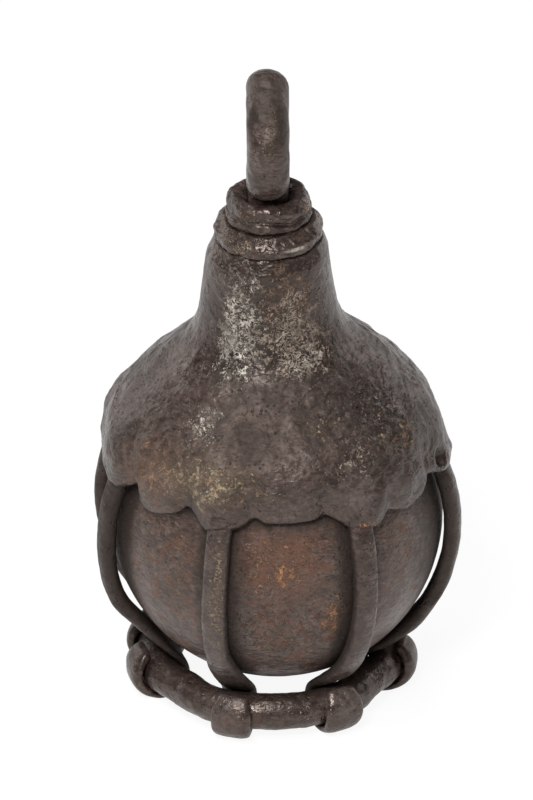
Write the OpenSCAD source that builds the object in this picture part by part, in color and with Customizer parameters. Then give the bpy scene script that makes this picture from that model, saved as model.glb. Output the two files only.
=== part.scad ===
// Steelyard weight: an iron ball caught in a forged cage, under a cast hood with a hanging eye.
// Millimetres. +Z is up, the feet of the cage stand on Z = 0, and the hood's axis is the Z axis.
// The side shown in the usual view faces -Y. Azimuths are seen from above: 0 faces -Y, 90 faces +X.

/* [Ball] */
// Diameter of the loose iron ball
ball_d = 106; // [96:1:112]
// Gap between the ball and its seat in the hood
ball_gap = 0.3; // [0.25:0.05:0.6]
// Play between the ball and the rods of the cage
ball_play = 0.8; // [0.6:0.1:1]

/* [Cage rods] */
// Width of a rod, across the ball
rod_w = 8; // [7:0.2:9]
// Thickness of a rod, away from the ball
rod_t = 5.6; // [5:0.1:5.8]
// Width of the flattened strap that wraps the ring
strap_w = 12.8; // [11:0.2:14]
// Thickness of that strap
strap_t = 3; // [2.6:0.1:3.4]
// Straight run of a rod between the ball and the ring
foot_run = 12.2; // [12:0.2:16]
// Where the strap's tip stops, past the outside of the ring
wrap_tip_angle = 62; // [50:1:72]
// Angle from the top of the ball at which a rod ends, under the hood
rod_top_angle = 40; // [36:1:46]

/* [Base ring] */
// Diameter of the ring's centre line
ring_d = 74.4; // [70:0.2:82]
// Diameter of the ring's round bar
ring_bar_d = 11.8; // [10:0.2:13]
// How far the ring's centre sits to the left of the ball's
ring_left = 1.8; // [0:0.1:2.2]
// How far the ring's centre sits in front of the ball's
ring_front = 0.5; // [0:0.1:0.8]
// Gap between a strap and the ring
wrap_gap = 0.15; // [0.1:0.05:0.3]
// Depth that is worn flat under each strap
foot_wear = 0.5; // [0.3:0.1:0.8]

/* [Hood] */
// Lean of the hood and the eye to the left, about the ball's centre, in degrees
hood_lean = 1; // [0:0.1:2]
// How far the hood's axis passes to the left of the ball's centre
hood_left = 0.7; // [0:0.1:1]
// Thickness of the hood at its hem
hem_wall = 8.4; // [8.2:0.1:9.6]
// Thickness of the hood at its shoulder
shoulder_wall = 13.7; // [12.5:0.1:15]
// Height of the hem above the ball's centre, at the roots of the rods
hem_h = 22.5; // [21:0.5:25]
// Height of the shoulder above the ball's centre
shoulder_h = 41.8; // [39:0.2:43]
// Diameter of the neck where the slope of the hood runs into it
neck_root_d = 46; // [42:1:50]
// Height of that place above the ball's centre
neck_root_h = 68; // [66:0.5:71]
// Diameter of the neck below its rounded top
neck_top_d = 38.8; // [37:0.2:41]
// Height of the neck's rounded top
neck_round = 5.6; // [4:0.2:7]
// Height of the neck's top above the ball's centre
neck_top_h = 101; // [98:0.5:106]
// Gap between a rod and its groove in the hood
groove_gap = 0.15; // [0.1:0.05:0.25]

/* [Collars] */
// Outer diameter of the lower band
band_d = 34.4; // [33:0.2:36]
// Diameter of the lower band's top edge
band_top_d = 29; // [27.5:0.2:31]
// Height of the lower band
band_h = 7; // [6:0.2:9]
// Outer diameter of the upper bead
bead_d = 27.4; // [25.5:0.1:29]
// Height of the upper bead
bead_h = 8; // [6:0.2:9]

/* [Eye] */
// Diameter of the eye's bar
eye_bar_d = 13.7; // [12.5:0.1:15]
// Diameter of the hole in the eye
eye_hole_d = 16.2; // [14:0.2:18]
// Depth of the band that a hook has worn in the hole
eye_wear = 0.3; // [0.2:0.05:0.5]
// Height of the eye's underside above the bead
eye_lift = 0.2; // [0:0.2:2]
// Width of the square stem under the eye
stem_w = 13; // [11:0.2:13.6]
// Diameter of the round tang below the stem
tang_d = 11; // [9:0.5:12]
// Gap round the stem and round the tang
tang_gap = 0.15; // [0.1:0.05:0.3]

/* [Burr washer] */
// Diameter of the washer that the tang is riveted over
washer_d = 24; // [20:0.5:26]
// Thickness of the washer
washer_t = 2.8; // [2:0.1:3.4]
// Diameter of the riveted head
head_d = 17; // [14:0.5:18]
// Height of the riveted head
head_h = 2.8; // [2:0.1:3.2]
// Room between the riveted head and the ball
head_gap = 1.2; // [0.8:0.1:2]

/* [Hidden] */
$fn = 96;

IRON = [0.23, 0.20, 0.19];
RUSTY_IRON = [0.33, 0.25, 0.22];
CAST_IRON = [0.27, 0.24, 0.22];

// Each rod's azimuth under the hem, where it goes inside the ring, and where its tip lies outside the
// ring, and how far it stands off the ball low down, set by hand as the smith left them
ROD_LEFT = [-66, -74, -74.5, 1.3];
ROD_FRONT_LEFT = [-20, -22, -19, 0];
ROD_FRONT_RIGHT = [30, 30, 29, 0];
ROD_RIGHT = [82, 81, 83, 0.2];
ROD_BACK_RIGHT = [136, 134, 132, 0.3];
ROD_BACK = [197, 193, 191, 0];
ROD_BACK_LEFT = [257, 254, 256, 0.5];
RODS = [
    ROD_LEFT, ROD_FRONT_LEFT, ROD_FRONT_RIGHT, ROD_RIGHT,
    ROD_BACK_RIGHT, ROD_BACK, ROD_BACK_LEFT
];

// Scallops of the hem between the roots: azimuth, rise above the hem, radius
SCALLOPS = [
    [-53.4, 7, 4.4], [-35, 4.6, 11], [-29.8, 7.8, 1.6], [-26, 4.7, 5.4], [-17, 2, 30],
    [-6.4, 6.4, 8], [-6.6, 7.8, 2.2], [8, 6, 12], [15.4, 8, 5.5],
    [39, 3.6, 2.4], [43, 2.4, 6], [61, 7, 6.2],
    [99, 4.6, 7], [114, 6, 8], [124, 4, 5], [156, 5.4, 7.5], [173, 6.4, 9],
    [216, 6, 8.5], [231, 4.4, 7], [243, 5.2, 4.5], [276, 5, 7]
];

ball_r = ball_d / 2;
seat_r = ball_r + ball_gap;
ring_r = ring_d / 2;
ring_bar_r = ring_bar_d / 2;

// A rod's centre line is an arc about the ball, a straight run and an arc about the ring's bar
rod_inner_r = ball_r + ball_play;
wrap_path_r = ring_bar_r + wrap_gap + strap_t / 2;
reach = rod_inner_r + strap_t / 2 + wrap_path_r;
ring_drop = sqrt(reach * reach + foot_run * foot_run - ring_r * ring_r);
ring_z = wrap_path_r + strap_t / 2 - foot_wear;
ball_z = ring_z + ring_drop;
wrap_end = 360 + wrap_tip_angle;
tip_taper = 26;
flatten_angle = 14;
turn_angle = 75;

rod_sides = 12;
arc_step = 6;
wrap_step = 15;

// Heights of the collars and the eye
neck_top_z = ball_z + neck_top_h;
band_top_z = neck_top_z + band_h;
bead_top_z = band_top_z + bead_h;
eye_bar_r = eye_bar_d / 2;
eye_ring_r = eye_hole_d / 2 - eye_wear + eye_bar_r;
eye_z = bead_top_z + eye_lift + eye_ring_r + eye_bar_r;
stem_corner_r = 3.2;
stem_reach = (stem_w / 2 - stem_corner_r) * sqrt(2) + stem_corner_r;
bead_hole_r = stem_reach + tang_gap;
tang_hole_r = tang_d / 2 + tang_gap;
head_z = ball_z + ball_r + head_gap;
washer_z = head_z + head_h;
pocket_top_z = washer_z + washer_t;
washer_gap = 0.4;
eps = 0.01;

// Sets a piece to the left and leans it about the ball's centre
module leaned() {
    translate([-hood_left, 0, ball_z])
        rotate([0, -hood_lean, 0])
            translate([0, 0, -ball_z])
                children();
}

// Smooth step from 0 to 1 as x goes from a to b
function ease(x, a, b) =
    let (u = min(1, max(0, (x - a) / (b - a))))
    u * u * (3 - 2 * u);

// Outline through corners [x, y, radius], each corner rounded by an arc of its radius
function unit(v) = v / norm(v);
function cross_z(a, b) = a[0] * b[1] - a[1] * b[0];
function rounded(corners, steps = 8) = [
    for (i = [0 : len(corners) - 1])
        let (
            p = [corners[i][0], corners[i][1]],
            before = corners[(i + len(corners) - 1) % len(corners)],
            after = corners[(i + 1) % len(corners)],
            u = unit([before[0], before[1]] - p),
            v = unit([after[0], after[1]] - p),
            r = corners[i][2],
            half = acos(max(-1, min(1, u * v))) / 2,
            centre = p + unit(u + v) * r / sin(half),
            from = centre - p,
            side = cross_z(u, v) > 0 ? 1 : -1,
            turn = 90 - half
        )
        each r == 0 ? [p] : [
            for (k = [0 : steps])
                let (
                    a = side * turn * (1 - 2 * k / steps),
                    d = -unit(from)
                )
                centre + r * [d[0] * cos(a) - d[1] * sin(a), d[0] * sin(a) + d[1] * cos(a)]
        ]
];

// The ring lies off the ball's axis, so its distance from that axis changes with the azimuth
function ring_reach(az) =
    let (
        along = ring_front * cos(az) - ring_left * sin(az),
        off = ring_left * ring_left + ring_front * ring_front
    )
    along + sqrt(ring_r * ring_r - off + along * along);

// The same place's azimuth as seen from the ring's own centre
function ring_azimuth(az) =
    let (d = ring_reach(az))
    atan2(d * sin(az) + ring_left, d * cos(az) - ring_front);

// Angle from the top of the ball at which a rod leaves it, and the ring's bar as seen from there
function run_length(d) = sqrt(max(0, pow(ring_drop, 2) + d * d - reach * reach));
function leave_angle(d) = 180 - atan2(d, ring_drop) - atan2(run_length(d), reach);

// A flattened round: an ellipse whose sides are fuller than a true one
function fuller(c) = sign(c) * pow(abs(c), 0.78);
section = [
    for (k = [0 : rod_sides - 1])
        let (a = 360 * (k + 0.5) / rod_sides)
        [fuller(cos(a)), fuller(sin(a))]
];

// Cross-section of a rod of width w and thickness h by the ball, the distance off further out than
// its play
function arc_ring(t, az, w, h, off) = [
    for (c = section)
        let (
            across = w / 2 * c[0],
            out = rod_inner_r + off + h / 2 * (1 + c[1]),
            r = out * sin(t)
        )
        [
            r * sin(az) + across * cos(az),
            -r * cos(az) + across * sin(az),
            ball_z + out * cos(t)
        ]
];

// Cross-section of the strap round the ring's bar, bent to follow the ring
function wrap_ring(a, az, w, h) = [
    for (c = section)
        let (
            out = wrap_path_r - h / 2 * c[1],
            r = ring_r + out * cos(a),
            turn = az + w / 2 * c[0] / r * 180 / PI
        )
        [
            r * sin(turn) - ring_left,
            -r * cos(turn) - ring_front,
            max(0, ring_z + out * sin(a))
        ]
];

function mix(a, b, u) = a * (1 - u) + b * u;

function between(a, b, u) = [for (i = [0 : len(a) - 1]) mix(a[i], b[i], u)];

function rod_rings(rod) =
    let (
        leave = leave_angle(ring_reach(rod[1])),
        inside = ring_azimuth(rod[1]),
        outside = ring_azimuth(rod[2]),
        start = 270 - leave,
        arcs = ceil((leave - rod_top_angle) / arc_step),
        wraps = ceil((wrap_end - start) / wrap_step),
        flare_w = mix(rod_w, strap_w, 0.5),
        bulge = mix(turn_angle, leave, 0.3),
        low = mix(turn_angle, leave, 0.75),
        last_arc = arc_ring(leave, rod[1], flare_w, strap_t, 0),
        first_wrap = wrap_ring(start, inside, strap_w, strap_t)
    )
    concat(
        [
            for (i = [0 : arcs])
                let (
                    t = mix(rod_top_angle, leave, i / arcs),
                    az = mix(rod[0], rod[1], ease(t, turn_angle, leave)),
                    flat = ease(t, leave - flatten_angle, leave),
                    off = rod[3] * ease(t, bulge, low) * (1 - ease(t, low, leave))
                )
                arc_ring(t, az, mix(rod_w, flare_w, flat), mix(rod_t, strap_t, flat), off)
        ],
        [for (u = [0.3, 0.6]) between(last_arc, first_wrap, u)],
        [
            for (i = [0 : wraps])
                let (
                    a = mix(start, wrap_end, i / wraps),
                    az = mix(inside, outside, ease(a, start + 60, 360)),
                    thin = ease(a, wrap_end - tip_taper, wrap_end + 6)
                )
                wrap_ring(a, az, strap_w * (1 - 0.35 * thin), strap_t * (1 - 0.3 * thin))
        ]
    );

module cage_rod(rod) {
    rings = rod_rings(rod);
    n = len(rings);
    points = [for (r = rings) each r];
    sides = [
        for (i = [0 : n - 2], k = [0 : rod_sides - 1])
            let (
                a = i * rod_sides + k,
                b = i * rod_sides + (k + 1) % rod_sides
            )
            each [[a, b, b + rod_sides], [a, b + rod_sides, a + rod_sides]]
    ];
    last = (n - 1) * rod_sides;
    ends = [
        [for (k = [rod_sides - 1 : -1 : 0]) k],
        [for (k = [0 : rod_sides - 1]) last + k]
    ];
    color(IRON)
        polyhedron(points = points, faces = concat(sides, ends), convexity = 8);
}

module ball() {
    color(RUSTY_IRON)
        translate([0, 0, ball_z])
            sphere(r = ball_r);
}

module base_ring() {
    color(IRON)
        translate([-ring_left, -ring_front, ring_z])
            rotate_extrude()
                translate([ring_r, 0])
                    circle(r = ring_bar_r);
}

// Half section of the hood: hem, side, shoulder, slope, neck and the neck's rounded top
module hood_section() {
    hem_r = sqrt(pow(ball_r + hem_wall, 2) - hem_h * hem_h);
    shoulder_r = sqrt(pow(ball_r + shoulder_wall, 2) - shoulder_h * shoulder_h);
    polygon(rounded([
        [0, hem_h, 0],
        [hem_r, hem_h, 2.4],
        [shoulder_r, shoulder_h, 28],
        [neck_root_d / 2, neck_root_h, 26],
        [neck_top_d / 2, neck_top_h - neck_round, 5],
        [band_d / 2 - 0.6, neck_top_h, 0.8],
        [0, neck_top_h, 0]
    ], 4));
}

// A scallop of the hem: a round cut that points at the ball's axis
module scallop(azimuth, rise, r) {
    translate([0, 0, ball_z + hem_h + rise - r])
        rotate([0, 0, azimuth])
            rotate([90, 0, 0])
                translate([0, 0, ball_r * 0.6])
                    cylinder(r = r, h = ball_r);
}

// Groove that a rod lies in, from above its top end to below the hem
module rod_groove(rod) {
    half_w = rod_w / 2 + groove_gap;
    inner = ball_r - 1;
    outer = rod_inner_r + rod_t + groove_gap;
    start = rod_top_angle - 0.3;
    translate([0, 0, ball_z])
        rotate([0, 0, rod[0] - 90])
            rotate([90, 0, 0])
                rotate([0, 0, 2])
                    rotate_extrude(angle = 88 - start)
                        translate([inner, -half_w])
                            square([outer - inner, 2 * half_w]);
}

module hood() {
    color(CAST_IRON)
        difference() {
            leaned()
                translate([0, 0, ball_z])
                    rotate_extrude()
                        hood_section();
            translate([0, 0, ball_z])
                sphere(r = seat_r);
            for (s = SCALLOPS)
                scallop(s[0], s[1], s[2]);
            for (rod = RODS)
                rod_groove(rod);
            leaned() {
                translate([0, 0, ball_z])
                    cylinder(r = washer_d / 2 + washer_gap, h = pocket_top_z - ball_z);
                cylinder(r = tang_hole_r, h = neck_top_z + 1);
            }
        }
}

// Ring with a rounded outer rim that draws in towards its top, standing on z = 0
module collar(outer_r, top_r, hole_r, h) {
    rotate_extrude()
        polygon(rounded([
            [hole_r, 0, 0],
            [outer_r, 0, h * 0.3],
            [outer_r, h * 0.56, h * 0.22],
            [top_r, h, h * 0.16],
            [hole_r, h, 0]
        ], 5));
}

module neck_band() {
    color(IRON)
        leaned()
            translate([0, 0, neck_top_z])
                collar(band_d / 2, band_top_d / 2, tang_hole_r, band_h);
}

module top_bead() {
    color(IRON)
        leaned()
            translate([0, 0, band_top_z])
                rotate_extrude()
                    polygon(rounded([
                        [bead_hole_r, 0, 0],
                        [bead_d / 2, 0, bead_h * 0.45],
                        [bead_d / 2, bead_h, bead_h * 0.45],
                        [bead_hole_r, bead_h, 0]
                    ], 5));
}

module rounded_square(w, r) {
    side = w / 2 - r;
    square([w, 2 * side], center = true);
    square([2 * side, w], center = true);
    for (x = [-side, side], y = [-side, side])
        translate([x, y])
            circle(r = r);
}

module riveted_head() {
    rotate_extrude()
        polygon(rounded([
            [0, 0, 0],
            [head_d / 2, 0, head_h * 0.6],
            [head_d / 2, head_h, 0],
            [0, head_h, 0]
        ], 5));
}

module eye() {
    color(IRON)
        leaned()
            difference() {
                union() {
                    translate([0, 0, eye_z])
                        rotate([0, 90, 0])
                            rotate_extrude()
                                translate([eye_ring_r, 0])
                                    circle(r = eye_bar_r);
                    translate([0, 0, band_top_z])
                        linear_extrude(eye_z - eye_ring_r - band_top_z)
                            rounded_square(stem_w, stem_corner_r);
                    translate([0, 0, washer_z - eps])
                        cylinder(d = tang_d, h = band_top_z - washer_z + 2 * eps);
                    translate([0, 0, head_z])
                        riveted_head();
                }
                translate([0, 0, eye_z])
                    rotate([0, 90, 0])
                        cylinder(d = eye_hole_d, h = eye_bar_d + 2, center = true);
            }
}

module burr_washer() {
    color(IRON)
        leaned()
            translate([0, 0, washer_z])
                difference() {
                    cylinder(d = washer_d, h = washer_t);
                    translate([0, 0, -1])
                        cylinder(r = tang_hole_r, h = washer_t + 2);
                }
}

ball();
base_ring();
cage_rod(ROD_LEFT);  // rod_left
cage_rod(ROD_FRONT_LEFT);  // rod_front_left
cage_rod(ROD_FRONT_RIGHT);  // rod_front_right
cage_rod(ROD_RIGHT);  // rod_right
cage_rod(ROD_BACK_RIGHT);  // rod_back_right
cage_rod(ROD_BACK);  // rod_back
cage_rod(ROD_BACK_LEFT);  // rod_back_left
hood();
neck_band();
top_bead();
eye();
burr_washer();
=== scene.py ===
import math

import bmesh
import bpy
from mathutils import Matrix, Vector, noise


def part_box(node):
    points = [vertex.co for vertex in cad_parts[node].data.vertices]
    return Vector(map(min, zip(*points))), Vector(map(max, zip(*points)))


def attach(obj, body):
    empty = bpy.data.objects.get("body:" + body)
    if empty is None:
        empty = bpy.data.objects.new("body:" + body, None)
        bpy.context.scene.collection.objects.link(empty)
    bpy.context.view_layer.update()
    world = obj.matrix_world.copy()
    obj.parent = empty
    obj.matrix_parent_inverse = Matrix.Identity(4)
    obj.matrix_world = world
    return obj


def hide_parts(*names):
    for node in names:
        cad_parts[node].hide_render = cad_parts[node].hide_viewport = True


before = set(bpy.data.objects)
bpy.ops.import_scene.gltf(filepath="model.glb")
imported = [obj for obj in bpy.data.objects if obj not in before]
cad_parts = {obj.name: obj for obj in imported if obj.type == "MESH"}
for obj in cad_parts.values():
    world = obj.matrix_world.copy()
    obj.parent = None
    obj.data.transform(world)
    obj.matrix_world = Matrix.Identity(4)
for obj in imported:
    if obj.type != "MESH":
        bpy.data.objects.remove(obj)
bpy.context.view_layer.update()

bl_info = {
    "name": "Steelyard weight",
    "version": (1, 0, 0),
    "blender": (4, 5, 0),
    "location": "View3D > Sidebar > Weight",
    "description": "A loose iron ball in a cage of forged bars, under a hood with two collars and an eye",
    "category": "Add Mesh",
}

MM = 0.001


def box_middle(node):
    low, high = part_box(node)
    return (low + high) / 2


def box_size(node):
    low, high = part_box(node)
    return high - low


BALL = box_middle("ball")
RING = box_middle("base_ring")
RING_BAR = box_size("base_ring").z
RING_DIAMETER = box_size("base_ring").x - RING_BAR


# Sizes and finishes ---------------------------------------------------------

def length(name, text, default, low, high):
    return bpy.props.FloatProperty(
        name=name, description=text, default=default, min=low, max=high,
        unit="LENGTH", subtype="DISTANCE", precision=5,
    )


def colour(name, text, default):
    return bpy.props.FloatVectorProperty(
        name=name, description=text, default=default, size=3, min=0.0, max=1.0, subtype="COLOR",
    )


def share(name, text, default, low=0.0, high=1.0):
    return bpy.props.FloatProperty(
        name=name, description=text, default=default, min=low, max=high, subtype="FACTOR",
    )


def angle(name, text, degrees, low, high):
    return bpy.props.FloatProperty(
        name=name, description=text, default=math.radians(degrees), min=math.radians(low),
        max=math.radians(high), subtype="ANGLE",
    )


def watts(name, text, default):
    return bpy.props.FloatProperty(name=name, description="Watts of " + text, default=default, min=0.0)


class WeightCageSizes(bpy.types.PropertyGroup):
    ball_radius: length("Ball radius", "Radius of the loose ball", 53 * MM, 0.048, 0.056)
    ball_play: length("Play", "Room between the ball and the bars", 0.8 * MM, 0.0006, 0.001)
    bar_width: length("Bar width", "Width of a cage bar across the ball", 8 * MM, 0.007, 0.009)
    bar_thickness: length("Bar thickness", "Thickness of a cage bar", 5.6 * MM, 0.005, 0.0058)
    strap_width: length("Strap width", "Width of a bar's flattened end", 12.8 * MM, 0.011, 0.014)
    strap_thickness: length("Strap thickness", "Thickness of that end", 3 * MM, 0.0026, 0.0034)
    ring_diameter: length("Ring diameter", "Centre line of the base ring", RING_DIAMETER, 0.07, 0.082)
    ring_bar: length("Ring bar", "Diameter of the base ring's bar", RING_BAR, 0.01, 0.013)
    wrap_gap: length("Wrap gap", "Gap between a strap and the ring", 0.15 * MM, 0.0001, 0.0003)
    bar_top: angle("Bar top", "Where a bar ends under the hood, from the ball's top", 40, 36, 46)
    tip_angle: angle("Tip angle", "Where a strap's tip stops, past the outside of the ring", 64, 50, 72)


class WeightHoodSizes(bpy.types.PropertyGroup):
    hem_height: length("Hem height", "Height of the hem above the ball's centre", 22.5 * MM, 0.021, 0.025)
    seat_gap: length("Seat gap", "Gap between the ball and the hood", 0.3 * MM, 0.00025, 0.0006)
    neck_top: length("Neck top", "Height of the neck above the ball's centre", 101 * MM, 0.098, 0.106)
    band_height: length("Lower collar", "Height of the lower collar", 7 * MM, 0.006, 0.009)
    bead_height: length("Upper collar", "Height of the upper collar", 8 * MM, 0.006, 0.009)
    shift: length("Shift", "How far the hood's axis sits to the left", 0.7 * MM, 0.0, 0.001)
    lean: angle("Lean", "How far the hood leans to the left", 1, 0, 2)
    eye_bar: length("Eye bar", "Thickness of the eye's bar", 13.7 * MM, 0.0125, 0.015)
    eye_hole: length("Eye hole", "Diameter of the hole in the eye", 16.2 * MM, 0.014, 0.018)
    stem_width: length("Stem", "Width of the square stem under the eye", 13 * MM, 0.011, 0.0136)


class WeightFinish(bpy.types.PropertyGroup):
    dark: colour("Dark iron", "Waxed black-brown iron", (0.014, 0.009, 0.007))
    body: colour("Iron", "Mauve-brown iron", (0.056, 0.036, 0.030))
    pale: colour("Rubbed iron", "Iron rubbed paler", (0.150, 0.118, 0.106))
    bright: colour("Bare metal", "Bare metal in small specks", (0.66, 0.61, 0.53))
    cream: colour("Pale scale", "Cream-coloured scale", (0.36, 0.31, 0.25))
    gold: colour("Dry scale", "Ochre scale", (0.255, 0.195, 0.120))
    copper: colour("Copper scale", "Copper-brown scale", (0.235, 0.138, 0.088))
    rust: colour("Rust", "Red-brown rust", (0.140, 0.055, 0.030))
    orange: colour("Fresh rust", "Orange rust", (0.34, 0.160, 0.072))
    gloss: share("Roughness", "Roughness of the waxed iron", 0.3)
    shine: bpy.props.FloatProperty(
        name="Shine", description="How strongly the wax mirrors, as an index of refraction", default=1.66,
        min=1.3, max=2.5,
    )
    wax: colour("Wax", "Tint of the wax's mirroring", (1.0, 0.84, 0.75))


class WeightStudio(bpy.types.PropertyGroup):
    floor: colour("Floor", "Plain pale floor", (0.86, 0.86, 0.86))
    sky: share("Surround", "Light from the white surround", 0.11, 0.0, 2.0)
    key: watts("Key", "the lamp in front", 12.0)
    glint: watts("Glint", "the small lamp in front", 3.0)
    top: watts("Top", "the lamp above", 4.0)
    sides: watts("Sides", "each side lamp", 2.1)
    distance: length("Camera distance", "From the lens to the weight", 8.0, 4.0, 20.0)
    elevation: angle("Elevation", "Height of the camera above the horizon", 30, 0, 90)


# Each bar: node, its direction under the hem, where it goes inside the ring and where its tip lies
# outside it, in degrees from the front, and how far it stands off the ball low down, in mm
BARS = [
    ("rod_left", -72.0, -75.0, -76.5, 0.9), ("rod_front_left", -20.0, -22.0, -19.0, 0.0),
    ("rod_front_right", 30.0, 30.0, 29.0, 0.0), ("rod_right", 82.0, 81.0, 83.0, 0.2),
    ("rod_back_right", 136.0, 134.0, 132.0, 0.3), ("rod_back", 197.0, 193.0, 191.0, 0.0),
    ("rod_back_left", 257.0, 254.0, 256.0, 0.5),
]

# Where the base ring was hammered flatter: direction in degrees, depth in mm, spread in degrees
RING_FLATS = [(60.0, 1.9, 12.0), (-50.0, 2.0, 13.0), (7.0, 0.3, 9.0), (104.0, 0.7, 12.0), (225.0, 0.8, 14.0)]

# The hem's lower edge all the way round: direction in degrees, height above the ball's centre in mm
HEM = [
    (-84, 23.6), (-77, 21.6), (-72, 20.6), (-67, 21.2), (-62.2, 23.8), (-58.4, 25.9), (-57.0, 25.4),
    (-55.5, 22.8), (-51.8, 20.3), (-48, 20.2), (-44.3, 20.9), (-40.1, 22.2), (-36.9, 23.2), (-35.4, 24.2),
    (-34.8, 25.2), (-33.7, 25.8), (-32.4, 25.9), (-31.1, 25.3), (-29, 24.3), (-26.9, 23.1), (-25.2, 21.7),
    (-23.4, 21.3), (-20.7, 21.7), (-18.2, 22.0), (-14.9, 22.2), (-12.2, 22.9), (-10.2, 23.8), (-9, 24.6),
    (-8.3, 25.6), (-7.3, 25.9), (-6, 25.5), (-4.5, 24.9), (-3, 24.3), (-0.2, 24.2), (3.6, 24.2), (6.4, 24.2),
    (9.7, 24.3), (13.6, 24.4), (15.8, 24.7), (17.5, 25.5), (19.1, 25.7), (21.5, 24.5), (23.4, 23.4),
    (25.2, 22.2), (26.5, 20.9), (28.1, 20.2), (31, 19.6), (34.4, 18.7), (37.2, 18.0), (40.6, 19.0), (43, 20.9),
    (44.3, 21.7), (45.5, 20.9), (49.5, 19.7), (53.1, 18.6), (57.3, 19.1), (61, 20.0), (65.2, 24.9),
    (69.4, 23.8), (71.7, 22.7), (75.5, 20.8), (80, 19.8), (87, 20.0), (93, 23.2), (99, 24.9), (104, 24.1),
    (108, 25.4), (114, 26.3), (120, 25.0), (124, 24.2), (128, 21.4), (132, 20.4), (141, 20.3), (149, 22.6),
    (156, 25.7), (162, 24.8), (166, 25.8), (173, 26.7), (181, 25.2), (187, 21.4), (191, 20.3), (203, 20.3),
    (209, 23.8), (216, 26.2), (223, 25.0), (226.5, 23.6), (231, 24.7), (237, 23.3), (242, 25.4), (248, 22.6),
    (251, 23.4), (256, 24.4), (262, 24.0), (268, 23.6),
]

# Pits and hollows of the hood: centre from the ball's centre, radius and depth, in mm
HOOD_PITS = [
    ((53.6, -15.2, 27.4), 3.8, 3.0), ((26.5, -42.8, 46.0), 5.0, 0.9), ((-7.0, -53.0, 38.0), 6.5, 1.0),
    ((10.0, -53.0, 36.0), 7.0, 0.7), ((-42.0, -34.0, 36.0), 5.0, 0.8), ((4.0, -44.0, 50.0), 8.0, 0.7),
    ((-20.0, 50.0, 34.0), 5.5, 0.9), ((31.0, 42.0, 38.0), 6.0, 0.9), ((-49.0, 22.0, 32.0), 4.5, 1.0),
]


# Making meshes --------------------------------------------------------------

def ease(x, low, high):
    """Smooth step from 0 to 1 as x goes from low to high"""
    u = min(1.0, max(0.0, (x - low) / (high - low)))
    return u * u * (3.0 - 2.0 * u)


def mix(a, b, u):
    return a * (1.0 - u) + b * u


def only(piece=None):
    """Leaves object mode with nothing selected but the piece"""
    if bpy.context.object and bpy.context.object.mode != "OBJECT":
        bpy.ops.object.mode_set(mode="OBJECT")
    bpy.ops.object.select_all(action="DESELECT")
    if piece:
        piece.select_set(True)
        bpy.context.view_layer.objects.active = piece


def settle(name):
    """Names the new piece and sets its origin to the world's, its corners staying where they are"""
    piece = bpy.context.object
    piece.name = name
    bpy.ops.object.transform_apply(location=True, rotation=True, scale=True)
    return piece


def edit_all():
    bpy.ops.object.mode_set(mode="EDIT")
    bpy.ops.mesh.select_all(action="SELECT")


def wire_loop(name, corners):
    """A circle of bare edges, set onto the corners of an outline"""
    only()
    middle = sum(corners, Vector()) / len(corners)
    reach = max((c - middle).length for c in corners)
    bpy.ops.mesh.primitive_circle_add(vertices=len(corners), radius=reach, location=middle)
    piece = settle(name)
    for vertex, corner in zip(piece.data.vertices, corners):
        vertex.co = corner
    return piece


def close_up(piece):
    """Merges the seam and turns every face outwards"""
    only(piece)
    edit_all()
    bpy.ops.mesh.remove_doubles(threshold=0.005 * MM)
    bpy.ops.mesh.normals_make_consistent(inside=False)
    bpy.ops.object.mode_set(mode="OBJECT")


def spun(name, corners, centre, axis, steps):
    """A closed outline spun all the way round an axis"""
    piece = wire_loop(name, corners)
    edit_all()
    bpy.ops.mesh.spin(steps=steps, angle=2 * math.pi, center=centre, axis=axis)
    bpy.ops.object.mode_set(mode="OBJECT")
    close_up(piece)
    return piece


def lofted(name, rings):
    """A filled circle, extruded once for each ring and set onto the ring's corners"""
    only()
    count = len(rings[0])
    middles = [sum(ring, Vector()) / count for ring in rings]
    reach = max((c - middles[0]).length for c in rings[0])
    bpy.ops.mesh.primitive_circle_add(vertices=count, radius=reach, fill_type="NGON", location=middles[0])
    piece = settle(name)
    edit_all()
    for i, ring in enumerate(rings):
        if i:
            bpy.ops.mesh.extrude_region_move(TRANSFORM_OT_translate={"value": middles[i] - middles[i - 1]})
        shape = bmesh.from_edit_mesh(piece.data)
        end = next(f for f in shape.faces if f.select)
        for loop, corner in zip(end.loops, ring):
            loop.vert.co = corner
    bmesh.update_edit_mesh(piece.data)
    bpy.ops.object.mode_set(mode="OBJECT")
    close_up(piece)
    return piece


def apply_modifier(piece, modifier):
    only(piece)
    bpy.ops.object.modifier_apply(modifier=modifier.name)


def smoothed(piece, levels):
    rounds = piece.modifiers.new("Rounding", "SUBSURF")
    rounds.levels = rounds.render_levels = levels
    apply_modifier(piece, rounds)


def dented(piece, size, depth, detail):
    """Lumps and hammer marks of the given size and depth, in mm, pushed into the surface"""
    marks = bpy.data.textures.new(piece.name + "_marks", "CLOUDS")
    marks.noise_scale = size * MM
    marks.noise_depth = detail
    marks.noise_basis = "ORIGINAL_PERLIN"
    push = piece.modifiers.new("Marks", "DISPLACE")
    push.texture = marks
    push.texture_coords = "LOCAL"
    push.direction = "NORMAL"
    push.mid_level = 0.5
    push.strength = depth * MM
    apply_modifier(piece, push)


def reshape(piece, change):
    """Moves each vertex by a function of its place"""
    for vertex in piece.data.vertices:
        vertex.co = change(vertex.co.copy())
    piece.data.update()


def lump(p, size, seed=0.0):
    """Noise from -1 to 1 at a place in mm, whose lumps are about size mm across"""
    return noise.noise(Vector((p.x / size + seed, p.y / size - seed, p.z / size + 0.5 * seed)))


def finish_piece(piece, nodes, material, body):
    only(piece)
    bpy.ops.object.shade_smooth_by_angle(angle=math.radians(60))
    piece.data.materials.clear()
    piece.data.materials.append(material)
    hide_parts(*nodes)
    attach(piece, body)


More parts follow.
